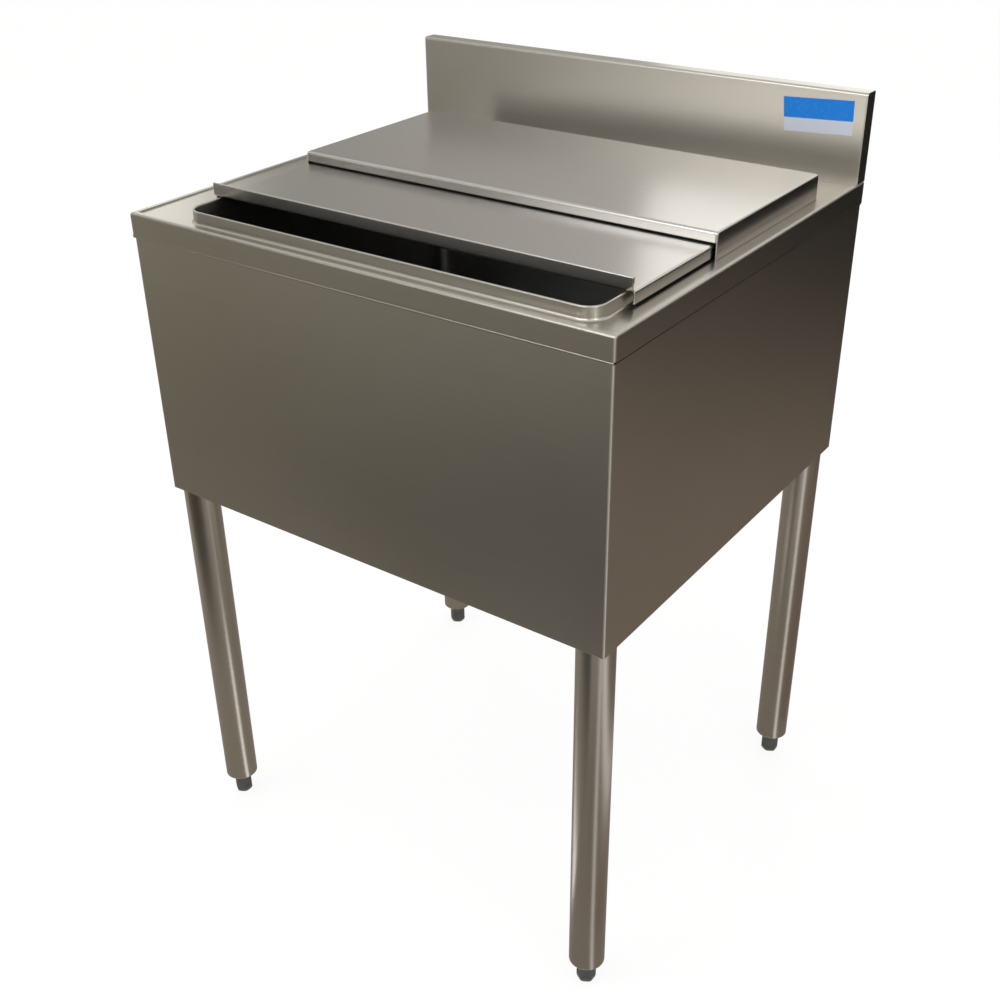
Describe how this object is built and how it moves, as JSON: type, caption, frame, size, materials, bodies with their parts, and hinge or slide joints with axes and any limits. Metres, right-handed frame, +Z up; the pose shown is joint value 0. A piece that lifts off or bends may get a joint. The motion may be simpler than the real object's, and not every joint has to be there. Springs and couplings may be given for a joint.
{
  "type": "underbar ice bin with cold plate",
  "caption": "Insulated stainless ice bin on adjustable round legs, with a cast cold plate, a raised rim, a splash at the back, a sliding front lid and a lift-off rear lid.",
  "frame": {"origin": "on the floor below the middle of the body's box", "axes": "+Z up, -Y towards the front apron, +X towards the right-hand side seen from the front"},
  "size_m": [0.6096, 0.5398, 0.9208],
  "materials": {
    "top_stainless": "brushed along the width",
    "wrap_stainless": "brushed along the width",
    "lid_stainless": "brushed along the width",
    "liner_stainless": "brushed",
    "leg_stainless": "brushed along the tube",
    "drain_stainless": "turned",
    "tube_stainless": "drawn, bright",
    "galvanised_sheet": "galvanised, dull spangle",
    "zinc_steel": "zinc plated",
    "cast_aluminium": "as cast",
    "polyurethane_foam": "foamed in place",
    "black_rubber": "moulded",
    "fibre": "pressed",
    "foot_plastic": "moulded, dark grey"
  },
  "bodies": {
    "bin": {"top_deck": "top_stainless", "backsplash": "top_stainless", "splash_end_left": "top_stainless", "splash_end_right": "top_stainless", "outer_wrap": "wrap_stainless", "back_panel": "galvanised_sheet", "bottom_pan": "galvanised_sheet", "bin_liner": "liner_stainless", "foam_insulation": "polyurethane_foam", "mount_channel_left": "galvanised_sheet", "mount_channel_right": "galvanised_sheet", "cold_plate": "cast_aluminium", "inlet_tubes": "tube_stainless", "outlet_tubes": "tube_stainless", "tube_seal_plate": "tube_stainless", "tube_grommets": "black_rubber", "drain_body": "drain_stainless", "drain_strainer": "drain_stainless", "drain_gasket": "black_rubber", "drain_washer": "fibre", "drain_locknut": "drain_stainless", "leg_front_left": "leg_stainless", "leg_front_right": "leg_stainless", "leg_back_left": "leg_stainless", "leg_back_right": "leg_stainless", "leg_plug_front_left": "zinc_steel", "leg_plug_front_right": "zinc_steel", "leg_plug_back_left": "zinc_steel", "leg_plug_back_right": "zinc_steel", "sleeve_front_left": "leg_stainless", "sleeve_front_right": "leg_stainless", "sleeve_back_left": "leg_stainless", "sleeve_back_right": "leg_stainless", "leg_nuts": "zinc_steel", "leg_washers": "zinc_steel"},
    "front_lid": {"front_lid": "lid_stainless"},
    "rear_lid": {"rear_lid": "lid_stainless"},
    "foot_front_left": {"foot_front_left": "foot_plastic"},
    "foot_front_right": {"foot_front_right": "foot_plastic"},
    "foot_back_left": {"foot_back_left": "foot_plastic"},
    "foot_back_right": {"foot_back_right": "foot_plastic"}
  },
  "joints": [
    {"name": "front_lid_slide", "type": "slide", "parent": "bin", "child": "front_lid", "axis": [0, 1, 0], "range_m": [-0.048, 0.147]},
    {"name": "rear_lid_lift", "type": "slide", "parent": "bin", "child": "rear_lid", "axis": [0, 0, 1], "range_m": [0, 0.12]},
    {"name": "foot_front_left_screw", "type": "slide", "parent": "bin", "child": "foot_front_left", "axis": [0, 0, -1], "range_m": [0, 0.025]},
    {"name": "foot_front_right_screw", "type": "slide", "parent": "bin", "child": "foot_front_right", "axis": [0, 0, -1], "range_m": [0, 0.025]},
    {"name": "foot_back_left_screw", "type": "slide", "parent": "bin", "child": "foot_back_left", "axis": [0, 0, -1], "range_m": [0, 0.025]},
    {"name": "foot_back_right_screw", "type": "slide", "parent": "bin", "child": "foot_back_right", "axis": [0, 0, -1], "range_m": [0, 0.025]}
  ]
}
